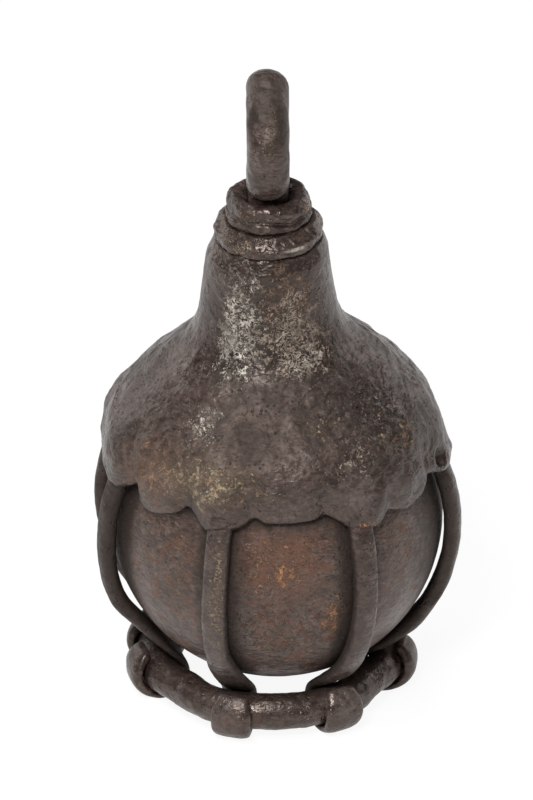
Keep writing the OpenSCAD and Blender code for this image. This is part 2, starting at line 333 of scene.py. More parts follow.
def rounded(corners, steps):
    """Outline through corners (x, y, radius), each rounded by an arc of its radius"""
    made = []
    count = len(corners)
    for i, (x, y, radius) in enumerate(corners):
        here = Vector((x, y))
        if radius == 0:
            made.append(here)
            continue
        before = (Vector(corners[i - 1][:2]) - here).normalized()
        after = (Vector(corners[(i + 1) % count][:2]) - here).normalized()
        half = before.angle(after) / 2
        centre = here + (before + after).normalized() * radius / math.sin(half)
        out = (here - centre).normalized()
        turn = math.pi / 2 - half
        side = 1.0 if before.x * after.y - before.y * after.x > 0 else -1.0
        for k in range(steps + 1):
            a = side * turn * (1 - 2 * k / steps)
            made.append(centre + radius * Vector((
                out.x * math.cos(a) - out.y * math.sin(a), out.x * math.sin(a) + out.y * math.cos(a)
            )))
    return made


def filled_in(points, spacing):
    """The same closed outline with points added so that none lie further apart than the spacing"""
    made = []
    for i, here in enumerate(points):
        there = points[(i + 1) % len(points)]
        gap = spacing(here, there)
        parts = max(1, math.ceil((there - here).length / gap))
        made += [here.lerp(there, k / parts) for k in range(parts)]
    return made


def leaned(point, sizes):
    """The place of a point of the hood once the hood is set to the left and leaned over"""
    p = point - BALL
    s, c = math.sin(sizes.lean), math.cos(sizes.lean)
    return BALL + Vector((c * p.x - s * p.z - sizes.shift, p.y, s * p.x + c * p.z))


# Materials ------------------------------------------------------------------

class Wiring:
    """Adds shader nodes to a tree and joins them up"""

    def __init__(self, tree):
        self.tree = tree

    def add(self, kind, **settings):
        made = self.tree.nodes.new(kind)
        for name, value in settings.items():
            setattr(made, name, value)
        return made

    def feed(self, socket, value):
        """Joins the socket to another, or sets it to a value"""
        if isinstance(value, bpy.types.NodeSocket):
            self.tree.links.new(value, socket)
        else:
            socket.default_value = (*value[:3], 1.0) if socket.type == "RGBA" else value

    def fill(self, node, **values):
        """Feeds the node's inputs by their names, and returns its outputs"""
        for name, value in values.items():
            self.feed(node.inputs[name.replace("_", " ")], value)
        return node.outputs

    def noise(self, vector, size, detail, rough, swirl=0.0):
        """Cloudy noise whose lumps are about size mm across"""
        scale = self.maths("DIVIDE", 1.0, size) if isinstance(size, bpy.types.NodeSocket) else 1.0 / size
        return self.fill(self.add("ShaderNodeTexNoise"), Vector=vector, Scale=scale, Detail=detail,
                         Roughness=rough, Distortion=swirl)["Fac"]

    def cells(self, vector, size):
        """Distance from scattered points, about size mm apart, in shares of that"""
        return self.fill(self.add("ShaderNodeTexVoronoi"), Vector=vector, Scale=1.0 / size)["Distance"]

    def maths(self, operation, a, b=0.0, clamp=False):
        made = self.add("ShaderNodeMath", operation=operation, use_clamp=clamp)
        for socket, value in zip(made.inputs, (a, b)):
            self.feed(socket, value)
        return made.outputs[0]

    def times(self, a, b):
        return self.maths("MULTIPLY", a, b)

    def plus(self, a, b, clamp=False):
        return self.maths("ADD", a, b, clamp)

    def minus(self, a, b):
        return self.maths("SUBTRACT", a, b)

    def band(self, value, low, high, to_low=0.0, to_high=1.0):
        """Smooth step of a value, from to_low below low to to_high above high"""
        made = self.add("ShaderNodeMapRange", interpolation_type="SMOOTHSTEP", clamp=True)
        return self.fill(made, Value=value, From_Min=low, From_Max=high, To_Min=to_low, To_Max=to_high)["Result"]

    def blend(self, share, a, b):
        """Colour a, covered by a share of colour b"""
        made = self.add("ShaderNodeMix", data_type="RGBA")
        for place, value in ((0, share), (6, a), (7, b)):
            self.feed(made.inputs[place], value)
        return made.outputs[2]

    def vectors(self, operation, a, b=(0.0, 0.0, 0.0)):
        """The vector that an operation on two gives, or the number that DOT_PRODUCT or LENGTH gives"""
        made = self.add("ShaderNodeVectorMath", operation=operation)
        for socket, value in zip(made.inputs, (a, b)):
            self.feed(socket, value)
        return made.outputs["Value" if operation in ("DOT_PRODUCT", "LENGTH") else "Vector"]

    def stretched(self, vector, shape):
        return self.fill(self.add("ShaderNodeMapping"), Vector=vector, Scale=shape)["Vector"]

    def scaled(self, colour, factor):
        made = self.add("ShaderNodeVectorMath", operation="SCALE")
        self.feed(made.inputs[0], colour)
        return self.fill(made, Scale=factor)["Vector"]

    def group(self, tree, **inputs):
        return self.fill(self.add("ShaderNodeGroup", node_tree=tree), **inputs)


def effect(name, outputs, **inputs):
    """A new shader node group, its wiring, and the sockets of its input and output nodes.

    It takes a place, Vector, and the named inputs, whose defaults are numbers, (r, g, b) colours or Vectors
    """
    tree = bpy.data.node_groups.new(name, "ShaderNodeTree")
    kinds = {Vector: "NodeSocketVector", float: "NodeSocketFloat", tuple: "NodeSocketColor"}
    tree.interface.new_socket(name="Vector", in_out="INPUT", socket_type=kinds[Vector])
    for label, default in inputs.items():
        socket = tree.interface.new_socket(name=label, in_out="INPUT", socket_type=kinds[type(default)])
        socket.default_value = (*default, 1.0) if isinstance(default, tuple) else default
    for label in outputs:
        kind = kinds[tuple if label == "Colour" else float]
        tree.interface.new_socket(name=label, in_out="OUTPUT", socket_type=kind)
    wires = Wiring(tree)
    return tree, wires, wires.add("NodeGroupInput").outputs, wires.add("NodeGroupOutput").inputs


def make_mottle():
    """Iron in cloudy patches of dark, middle and rubbed tones, with a fine broken grain"""
    tree, w, given, out = effect(
        "Mottled iron", ["Colour", "Clouds"], Dark=(0.03, 0.02, 0.02), Body=(0.09, 0.07, 0.06),
        Pale=(0.2, 0.16, 0.14), Patch=14.0, Darkness=0.5, Paleness=0.4,
    )
    here = given["Vector"]
    broad = w.noise(here, given["Patch"], 3.0, 0.6, 0.5)
    middling = w.noise(here, 3.4, 5.0, 0.66, 0.6)
    streaks = w.noise(w.stretched(here, (0.5, 0.5, 1.2)), 1.3, 4.0, 0.7, 0.4)
    grain = w.noise(here, 0.55, 2.0, 0.6)
    lows = w.plus(w.times(broad, 0.55), w.times(middling, 0.45))
    dark = w.times(w.band(lows, 0.53, 0.38), given["Darkness"])
    base = w.blend(dark, given["Body"], given["Dark"])
    highs = w.plus(w.times(broad, 0.35), w.times(middling, 0.65))
    pale = w.times(w.band(highs, 0.5, 0.68), given["Paleness"])
    base = w.blend(pale, base, given["Pale"])
    blotch = w.band(w.noise(here, 2.9, 6.0, 0.74, 0.9), 0.44, 0.54, 0.66, 1.12)
    shade = w.times(w.band(grain, 0.28, 0.72, 0.8, 1.22), w.band(streaks, 0.32, 0.68, 0.55, 1.5))
    w.feed(out["Colour"], w.scaled(base, w.times(shade, blotch)))
    w.feed(out["Clouds"], broad)
    return tree


def make_specks():
    """Thin worm-like specks, about Size mm apart, broken up and of uneven strength"""
    tree, w, given, out = effect("Worm specks", ["Mask"], Size=1.4, Share=0.3)
    here = given["Vector"]
    worms = w.noise(here, given["Size"], 2.0, 0.6, 1.6)
    ridge = w.maths("ABSOLUTE", w.minus(worms, 0.5))
    lines = w.band(ridge, 0.08, 0.03)
    broken = w.noise(here, w.times(given["Size"], 0.75), 4.0, 0.7, 0.5)
    level = w.minus(0.74, w.times(given["Share"], 0.42))
    kept = w.band(broken, level, w.plus(level, 0.1))
    uneven = w.band(w.noise(here, w.times(given["Size"], 2.6), 2.0, 0.6), 0.36, 0.64, 0.25, 1.0)
    w.feed(out["Mask"], w.times(w.times(lines, kept), uneven))
    return tree


def make_clumps():
    """Crusty clumps about Size mm across, crumbled at their edges, covering about Share of the surface"""
    tree, w, given, out = effect("Crusty clumps", ["Mask"], Size=3.0, Share=0.4)
    here = given["Vector"]
    lumps = w.noise(here, given["Size"], 6.0, 0.74, 0.9)
    level = w.minus(0.66, w.times(given["Share"], 0.26))
    lies = w.band(lumps, level, w.plus(level, 0.055))
    crumbs = w.band(w.noise(here, 1.1, 3.0, 0.7, 0.5), 0.36, 0.52, 0.15, 1.0)
    w.feed(out["Mask"], w.times(lies, crumbs))
    return tree


def make_patch():
    """A soft-edged patch round a centre, with radii in mm, whose edge is broken by noise"""
    tree, w, given, out = effect(
        "Patch", ["Mask"], Centre=Vector((0.0, 0.0, 0.0)), Radii=Vector((10.0, 10.0, 10.0)), Raggedness=0.5,
    )
    here = given["Vector"]
    away = w.vectors("DIVIDE", w.vectors("SUBTRACT", here, given["Centre"]), given["Radii"])
    edge = w.minus(w.noise(here, 5.0, 5.0, 0.7, 0.8), 0.5)
    reach = w.plus(w.vectors("LENGTH", away), w.times(w.times(edge, given["Raggedness"]), 4.0))
    w.feed(out["Mask"], w.band(reach, 1.15, 0.35))
    return tree


def make_rust():
    """Powdery rust: a colour that goes from red-brown to orange, and where it lies"""
    tree, w, given, out = effect(
        "Rust bloom", ["Colour", "Mask"], Rust=(0.2, 0.08, 0.05), Fresh=(0.42, 0.19, 0.08), Amount=0.3,
    )
    here = given["Vector"]
    cloud = w.noise(here, 7.0, 6.0, 0.7, 0.8)
    powder = w.noise(here, 0.9, 3.0, 0.65)
    level = w.minus(0.8, w.times(given["Amount"], 0.62))
    dusty = w.plus(cloud, w.times(w.minus(powder, 0.5), 0.45))
    lies = w.band(dusty, level, w.plus(level, 0.14))
    fresh = w.band(w.noise(here, 2.6, 4.0, 0.72, 0.5), 0.53, 0.76)
    w.feed(out["Colour"], w.blend(fresh, given["Rust"], given["Fresh"]))
    w.feed(out["Mask"], lies)
    return tree


def make_bar_shade():
    """Painted shade on the ball beside each bar, below the hem and underneath"""
    tree, w, given, out = effect("Painted bar shade", ["Mask"])
    here = given["Vector"]
    soft = w.times(w.minus(w.noise(here, 3.0, 4.0, 0.65), 0.5), 6.0)
    total = 0.0
    for node, top_way, in_way, *others in BARS:
        way = math.radians((top_way + in_way) / 2)
        across = w.vectors("DOT_PRODUCT", here, (math.cos(way), math.sin(way), 0.0))
        along = w.vectors("DOT_PRODUCT", here, (math.sin(way), -math.cos(way), 0.0))
        # Half the width of the painted shade: more beside the bars at the two sides
        reach = 9.0 + 5.0 * math.sin(way) ** 8
        beside = w.band(w.plus(w.maths("ABSOLUTE", across), soft), reach, reach - 4.4)
        beside = w.times(beside, w.band(along, 2.0, 8.0))
        total = beside if isinstance(total, float) else w.maths("MAXIMUM", total, beside)
    height = w.vectors("DOT_PRODUCT", here, (0.0, 0.0, 1.0))
    below = w.band(w.plus(height, soft), 17.0, 24.0)
    under = w.band(height, -36.0, -46.0, 0.0, 0.8)
    w.feed(out["Mask"], w.maths("MAXIMUM", total, w.maths("MAXIMUM", below, under)))
    return tree


def make_inner_grime():
    """Painted shade on the cage towards the ball, full near it and none beyond the bars' outside"""
    near, far = 56.5, 59.2
    tree, w, given, out = effect("Painted inner shade", ["Mask"])
    here = given["Vector"]
    soft = w.times(w.minus(w.noise(here, 2.4, 4.0, 0.65), 0.5), 2.2)
    w.feed(out["Mask"], w.band(w.plus(w.vectors("LENGTH", here), soft), far, near))
    return tree


def make_relief():
    """Height of the surface in mm: hammer marks, wrinkles, pits and grain"""
    tree, w, given, out = effect(
        "Iron relief", ["Height", "Pitted"], Marks=0.2, Wrinkles=0.15, Pits=0.2, Grain=0.04,
    )
    here = given["Vector"]
    marks = w.times(w.noise(here, 3.2, 1.5, 0.5, 0.3), given["Marks"])
    lines = w.noise(w.stretched(here, (0.45, 0.45, 1.0)), 1.3, 1.5, 0.5, 0.8)
    lines = w.times(lines, given["Wrinkles"])
    where = w.band(w.noise(here, 6.0, 3.0, 0.6), 0.42, 0.62)
    holes = w.times(w.band(w.cells(here, 1.7), 0.36, 0.1), where)
    pits = w.times(holes, given["Pits"])
    grain = w.times(w.noise(here, 0.5, 1.0, 0.5), given["Grain"])
    height = w.plus(w.plus(marks, lines), w.minus(grain, pits))
    w.feed(out["Height"], height)
    w.feed(out["Pitted"], holes)
    return tree


# The node groups above, by the names that iron() calls them by
EFFECTS = {}

# Height of scale and rust on the iron in mm, roughness that a dry place adds to it, and how dark the painted
# shade is
CRUST_HEIGHT = 0.22
DRY_ROUGHNESS = 0.35
PAINTED_SHADE_SHARE = 0.85


def millimetres(w):
    """The piece's own coordinates, in mm from the ball's centre"""
    return w.fill(w.add("ShaderNodeMapping"), Vector=w.add("ShaderNodeTexCoord").outputs["Object"],
                  Location=(0.0, 0.0, -BALL.z / MM), Scale=(1 / MM, 1 / MM, 1 / MM))["Vector"]


def paint_over(w, here, paints, skin, dry):
    """Lays each paint over the skin. Returns the skin, and where it is dry, bare metal and crusty.

    A wash is broken colour, a dulled wash is painted shade, dull takes the shine alone, and specks and clumps lie
    scattered
    """
    finish = bpy.context.scene.weight_finish
    metal = 0.0
    crust = 0.0
    tones = w.band(w.noise(here, 1.0, 3.0, 0.7, 0.6), 0.34, 0.66, 0.55, 1.6)
    for paint, kind, centre, radii, ragged, size, amount in paints:
        area = w.group(EFFECTS["patch"], Vector=here, Centre=centre, Radii=radii, Raggedness=ragged)["Mask"]
        if kind == "dull":
            dry = w.plus(dry, w.times(area, amount), clamp=True)
            continue
        if kind in ("wash", "soot"):
            thinnest = 0.25 if kind == "wash" else 0.7
            broken = w.band(w.noise(here, size, 5.0, 0.72, 0.5), 0.36, 0.62, thinnest, 1.0)
            area = w.times(w.times(area, broken), amount)
            # Painted shade, which also dulls the shine
            if kind == "soot":
                dry = w.plus(dry, area, clamp=True)
        else:
            scattered = w.group(EFFECTS[kind], Vector=here, Size=size, Share=w.times(area, amount))["Mask"]
            area = w.times(w.band(area, 0.02, 0.3), scattered)
            crust = w.maths("MAXIMUM", crust, area)
        own = getattr(finish, paint)
        if kind == "clumps":
            plain = w.add("ShaderNodeRGB").outputs[0]
            plain.default_value = (*own, 1.0)
            own = w.scaled(plain, tones)
            if paint == "gold":
                browned = w.band(w.noise(here, 3.4, 2.0, 0.5, 0.4), 0.44, 0.58, 0.0, 0.75)
                own = w.blend(browned, own, finish.copper)
        skin = w.blend(area, skin, own)
        if paint == "bright":
            metal = w.plus(metal, w.times(area, 0.4), clamp=True)
        elif paint not in ("dark", "pale"):
            dry = w.plus(dry, w.times(area, 0.6), clamp=True)
    return skin, dry, metal, crust


def iron(name, paints, patch, relief, darkness=0.6, paleness=0.4, rust=0.1, rough=0.0, tint=None, creases=(),
         grime=None):
    """A waxed iron finish, with cloudy patches of about the given size in mm.

    paints are (colour, kind, centre, radii, raggedness, size, share), relief is the height of marks, wrinkles,
    pits and grain, and creases are (centre, radii, height) where the wrinkles stand higher. Lengths are in mm
    """
    finish = bpy.context.scene.weight_finish
    material = bpy.data.materials.new(name)
    material.use_nodes = True
    w = Wiring(material.node_tree)
    shader = material.node_tree.nodes["Principled BSDF"]
    here = millimetres(w)
    mottle = w.group(EFFECTS["mottle"], Vector=here, Dark=finish.dark, Body=tint or finish.body, Pale=finish.pale,
                     Patch=patch, Darkness=darkness, Paleness=paleness)
    dents, wrinkles, pits, grain = relief
    for centre, radii, height in creases:
        area = w.group(EFFECTS["patch"], Vector=here, Centre=centre, Radii=radii, Raggedness=0.2)["Mask"]
        wrinkles = w.plus(wrinkles, w.times(area, height))
    marks = w.group(EFFECTS["relief"], Vector=here, Marks=dents, Wrinkles=wrinkles, Pits=pits, Grain=grain)
    rusty = w.group(EFFECTS["rust"], Vector=here, Rust=finish.rust, Fresh=finish.orange, Amount=rust)
    skin = w.blend(w.times(rusty["Mask"], 0.75), mottle["Colour"], rusty["Colour"])
    skin = w.blend(w.times(marks["Pitted"], 0.6), skin, finish.dark)
    skin, dry, metal, crust = paint_over(w, here, paints, skin, w.times(rusty["Mask"], 0.6))
    # Painted shade from the named group, laid on in dark iron, which also makes the wax rougher
    if grime:
        shade_mask = w.group(EFFECTS[grime], Vector=here)["Mask"]
        skin = w.blend(w.times(shade_mask, PAINTED_SHADE_SHARE), skin, finish.dark)
        dry = w.plus(dry, shade_mask, clamp=True)
    waxed = w.band(mottle["Clouds"], 0.35, 0.65, finish.gloss + rough + 0.1, finish.gloss + rough - 0.07)
    height = w.plus(marks["Height"], w.times(crust, CRUST_HEIGHT))
    bump = w.fill(w.add("ShaderNodeBump"), Strength=1.0, Distance=MM, Height=height)
    w.fill(shader, Base_Color=skin, Metallic=metal, IOR=finish.shine, Specular_Tint=finish.wax,
           Roughness=w.plus(waxed, w.times(dry, DRY_ROUGHNESS), clamp=True), Normal=bump["Normal"])


# Finish of each kind of iron: its paints in order, and the other settings of iron()
FINISHES = {
    "Hood iron": ([
        # The neck: dark streaks under flakes of cream scale and bare metal, whose white specks are partly painted
        # glints
        ("dark", "wash", (2, -17, 78), (30, 18, 36), 0.4, 2.4, 0.95),
        ("dark", "wash", (-2, -18, 84), (8, 16, 30), 0.4, 2.2, 0.8),
        ("copper", "clumps", (8, -22, 76), (15, 16, 30), 0.4, 1.4, 0.34),
        ("dark", "wash", (-9, -20, 76), (13, 16, 30), 0.5, 1.6, 0.9),
        ("cream", "specks", (-11, -19, 80), (12, 16, 34), 0.5, 2.2, 0.8),
        ("bright", "specks", (-11.5, -20, 75), (11, 14, 28), 0.5, 2.5, 0.85),
        ("copper", "specks", (6, -20, 80), (16, 14, 30), 0.5, 2, 1),
        ("cream", "specks", (6, -20, 74), (14, 14, 24), 0.5, 2, 0.9),
        ("bright", "specks", (8, -21, 68), (10, 12, 12), 0.5, 1.8, 0.6),
        # The right flank, darkened by painted shade
        ("dark", "wash", (28, -25, 52), (18, 16, 12), 0.5, 3, 0.8),
        ("dark", "wash", (44, -20, 40), (24, 30, 24), 0.4, 3.5, 0.7),
        # The dome's front, where the wax is dry, and the ochre patch at its left
        ("body", "dull", (-4, -34, 46), (34, 26, 24), 0.3, 3, 0.95),
        ("gold", "wash", (-24, -46, 37), (20, 16, 10), 0.5, 1.4, 0.34),
        ("copper", "wash", (-40, -34, 34), (16, 18, 15), 0.5, 1.6, 0.42),
        ("gold", "clumps", (-24, -38, 48), (14, 12, 9), 0.6, 1.8, 0.4),
        ("cream", "specks", (-24, -36, 49), (12, 11, 9), 0.5, 1.6, 0.6),
        # White specks of bare metal, partly painted glints
        ("bright", "specks", (-22.7, -35, 51.5), (9, 10, 8), 0.5, 1.9, 0.7),
        ("gold", "clumps", (-24.2, -47, 37), (21, 16, 10), 0.5, 2.8, 0.72),
        ("gold", "clumps", (-8, -53, 34), (12, 9, 6), 0.6, 2.4, 0.4),
        ("cream", "clumps", (-27, -46, 37), (22, 16, 10), 0.6, 1.6, 0.46),
        ("copper", "clumps", (-38, -36, 35), (14, 14, 12), 0.6, 2.4, 0.62),
        # Right of the front
        ("cream", "clumps", (26.5, -42.8, 41.3), (9, 10, 6.5), 0.6, 2, 0.56),
        ("pale", "wash", (26, -47, 33), (8, 8, 9), 0.5, 2, 0.8),
        ("orange", "clumps", (41.4, -27.4, 43.4), (9, 11, 8), 0.6, 2.2, 0.4),
        ("orange", "clumps", (29, -47.5, 22), (6, 8, 2.6), 0.4, 1.6, 0.6),
        ("gold", "clumps", (14, -36, 52), (14, 12, 6), 0.6, 2, 0.5),
        ("gold", "clumps", (36, -33, 46), (12, 12, 8), 0.6, 2, 0.5),
        ("dark", "wash", (53.6, -15.2, 27.4), (4, 4, 4), 0.1, 3, 1),
        # All round the dome
        ("copper", "clumps", (0, -34, 46), (62, 50, 26), 0.3, 1.7, 0.26),
        ("cream", "specks", (0, -34, 44), (62, 50, 22), 0.3, 1.3, 0.12),
    ], dict(patch=16.0, relief=(0.5, 0.26, 0.3, 0.04), creases=[((33, -24, 50), (24, 22, 17), 0.8)])),
    "Ball iron": ([
        # The front, between the bars
        ("rust", "wash", (-2, -52, 12), (19, 14, 17), 0.6, 2.4, 0.85),
        ("rust", "clumps", (4, -50, -14), (24, 14, 16), 0.7, 2.2, 0.5),
        ("copper", "clumps", (-2, -52, 9), (18, 14, 18), 0.6, 2.6, 0.5),
        ("orange", "clumps", (3, -52, 6), (6, 6, 6.5), 0.5, 1.9, 0.7),
        ("orange", "clumps", (18.6, -48.7, -9.3), (6, 6, 10), 0.6, 1.9, 0.7),
        ("orange", "clumps", (2, -49, -20), (18, 9, 6), 0.8, 2.4, 0.34),
        ("copper", "clumps", (0, -46, 0), (54, 26, 44), 0.4, 1.5, 0.2),
        ("orange", "clumps", (6, -50, -10), (24, 12, 22), 0.7, 1.5, 0.24),
        ("cream", "specks", (-27, -43, -4), (12, 12, 16), 0.6, 1.2, 0.4),
        ("cream", "specks", (6, -51, -2), (14, 12, 16), 0.6, 1.1, 0.3),
        ("orange", "clumps", (-28, -43, 11), (12, 9, 7), 0.6, 1.8, 0.45),
        ("copper", "clumps", (-30, -42, 2), (14, 14, 24), 0.6, 1.8, 0.4),
        # Black dots under the hem: painted shade in the small gaps there
        ("dark", "wash", (-28.5, -38.2, 23.4), (3.4, 5, 2.6), 0.1, 3, 1),
        ("dark", "wash", (-6.2, -47.1, 24.2), (3.4, 5, 2.6), 0.1, 3, 1),
        ("orange", "clumps", (41, -32, 3), (3, 3, 3), 0.4, 1.6, 0.5),
        # Shade beside the bars
        ("dark", "soot", (51, -15, 0), (12, 24, 44), 0.2, 4, 0.9),
        ("dark", "soot", (-51, -15, 6), (9, 20, 40), 0.2, 4, 0.8),
        ("dark", "wash", (22.5, -47, -4), (5, 12, 40), 0.2, 3, 0.7),
        ("dark", "wash", (-10.5, -51, -4), (4, 12, 40), 0.2, 3, 0.7),
    ], dict(patch=18.0, darkness=0.4, paleness=0.3, rust=0.46, relief=(0.3, 0.3, 0.2, 0.05), rough=0.05,
            tint=(0.086, 0.055, 0.045), grime="bar_marks")),
    "Cage iron": ([
        # The bars at the two sides, darkened by painted shade, and then the two in front
        ("dark", "soot", (-56, -14, 0), (16, 40, 50), 0.2, 4, 0.95),
        ("dark", "soot", (-46.5, -24, 0), (7, 10, 50), 0.1, 4, 1),
        ("dark", "soot", (52, -12, 0), (5, 9, 46), 0.1, 4, 1),
        ("dark", "wash", (57, -6, 0), (14, 40, 50), 0.2, 4, 0.8),
        ("gold", "clumps", (-18.5, -54, 0), (4.5, 8, 30), 0.4, 1.5, 0.74),
        ("pale", "wash", (-18.5, -54, 0), (5, 9, 40), 0.4, 1.3, 0.35),
        ("copper", "clumps", (30, -50, 5), (6, 8, 26), 0.5, 1.8, 0.34),
        # The straps and the base ring
        ("pale", "wash", (-16, -40, -50), (8, 9, 12), 0.4, 1.8, 0.7),
        ("rust", "wash", (-12, -40, -52), (8, 8, 5), 0.6, 1.6, 0.6),
        ("pale", "wash", (21, -37, -47), (8, 9, 8), 0.5, 1.8, 0.9),
        # Painted shade low inside the cage, over the straps and the ring
        ("dark", "soot", (0, 0, -44), (44, 42, 18), 0.2, 2, 0.95),
        ("rust", "wash", (37.8, -1.7, -46.7), (9, 9, 6), 0.6, 1.8, 0.8),
        ("pale", "clumps", (8, -43, -50), (16, 8, 7), 0.6, 1.8, 0.5),
        ("cream", "specks", (8, -44, -50), (14, 8, 7), 0.6, 1.4, 0.35),
    ], dict(patch=12.0, rust=0.2, relief=(0.42, 0.22, 0.3, 0.05), grime="inner_grime")),
    "Collar iron": ([
        ("gold", "clumps", (-10, -13, 104), (9, 8, 5), 0.5, 1.4, 0.6),
        ("cream", "specks", (-10, -13, 104), (8, 8, 5), 0.5, 1.1, 0.6),
        ("gold", "clumps", (-10, -9, 112), (6, 8, 6), 0.5, 1.4, 0.5),
        # A thin pale arc on the lower collar's front: a painted highlight
        ("bright", "wash", (6.4, -15, 104), (4.2, 5, 0.8), 0.06, 1.2, 0.9),
        ("orange", "clumps", (11.5, -6, 114), (3.5, 4.5, 4.5), 0.4, 1.6, 0.8),
    ], dict(patch=9.0, darkness=0.75, relief=(0.55, 0.4, 0.3, 0.05), rough=-0.02)),
    "Eye iron": ([
        ("dark", "wash", (-3, -12, 158), (5, 9, 8), 0.5, 3, 0.85),
        ("body", "dull", (1, -10, 152), (14, 20, 36), 0.2, 3, 0.66),
        ("dark", "wash", (1, -14, 146), (9, 12, 24), 0.5, 1.8, 0.45),
        ("copper", "clumps", (-1.5, -19.3, 148), (5, 8, 12), 0.6, 1.6, 0.5),
        ("cream", "specks", (-1, -19.3, 145), (5, 8, 11), 0.6, 1.2, 0.4),
    ], dict(patch=9.0, darkness=0.75, relief=(0.4, 0.24, 0.25, 0.04))),
}


# Pieces ---------------------------------------------------------------------

class WEIGHT_OT_ball(bpy.types.Operator):
    """Models the loose iron ball"""
    bl_idname = "weight.ball"
    bl_label = "Ball"

    def execute(self, context):
        sizes = context.scene.weight_cage
        room_for_dents = 0.12 * MM
        only()
        bpy.ops.mesh.primitive_ico_sphere_add(
            subdivisions=7, radius=sizes.ball_radius - room_for_dents, location=BALL
        )
        piece = settle("iron_ball")
        dented(piece, 26, 0.3, 1)
        dented(piece, 4.5, 0.2, 3)

        def keep_clear(p):
            away = p - BALL
            return BALL + away.normalized() * min(away.length, sizes.ball_radius)

        reshape(piece, keep_clear)
        finish_piece(piece, ["ball"], bpy.data.materials["Ball iron"], "ball")
        return {"FINISHED"}


class WEIGHT_OT_base_ring(bpy.types.Operator):
    """Models the base ring of round bar"""
    bl_idname = "weight.base_ring"
    bl_label = "Base ring"

    def execute(self, context):
        sizes = context.scene.weight_cage
        around = 28
        room_for_lumps = 0.1 * MM
        r = sizes.ring_bar / 2 - room_for_lumps
        outline = []
        for k in range(around):
            a = 2 * math.pi * k / around
            outline.append(RING + Vector((sizes.ring_diameter / 2 + r * math.cos(a), 0.0, r * math.sin(a))))
        piece = spun("base_ring_bar", outline, RING, (0, 0, 1), 200)
        smoothed(piece, 1)
        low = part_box("base_ring")[0].z

        def hammered(p):
            """Pushed in at the flats, lumpy all over, and never below the ground"""
            away = p - RING
            way = math.degrees(math.atan2(away.x, -away.y))
            flat = sum(d * math.exp(-((way - w) / spread) ** 2) for w, d, spread in RING_FLATS)
            inward = Vector((-away.x, -away.y, 0.0)).normalized() * flat * MM
            push = Vector((away.x, away.y, 0.0)).normalized() * sizes.ring_diameter / 2
            out = (away - push).normalized()
            q = p / MM
            swell = 0.32 * lump(q, 9.0) + 0.22 * lump(q, 4.2, 3.0) + 0.12 * lump(q, 2.1, 7.0)
            p = p + inward + out * swell * MM
            return Vector((p.x, p.y, max(p.z, low)))

        reshape(piece, hammered)
        finish_piece(piece, ["base_ring"], bpy.data.materials["Cage iron"], "cage")
        return {"FINISHED"}


def fuller(value, power):
    """A sine or cosine, brought nearer to 1 or -1 by a power below 1"""
    return math.copysign(abs(value) ** power, value)


def full_turn(count):
    """Cosine and sine of evenly spread angles, from half a step on"""
    angles = [2 * math.pi * (k + 0.5) / count for k in range(count)]
    return [(math.cos(a), math.sin(a)) for a in angles]


def section(count, power):
    """A flattened round with full sides"""
    return [(fuller(c, power), fuller(s, power)) for c, s in full_turn(count)]


def cushion(count, crown):
    """A strap's section: flat with soft corners towards the ring, domed by the crown outside"""
    return [(fuller(c, 0.62), fuller(s, 0.8) if s > 0 else fuller(s, 0.62) * crown) for c, s in full_turn(count)]


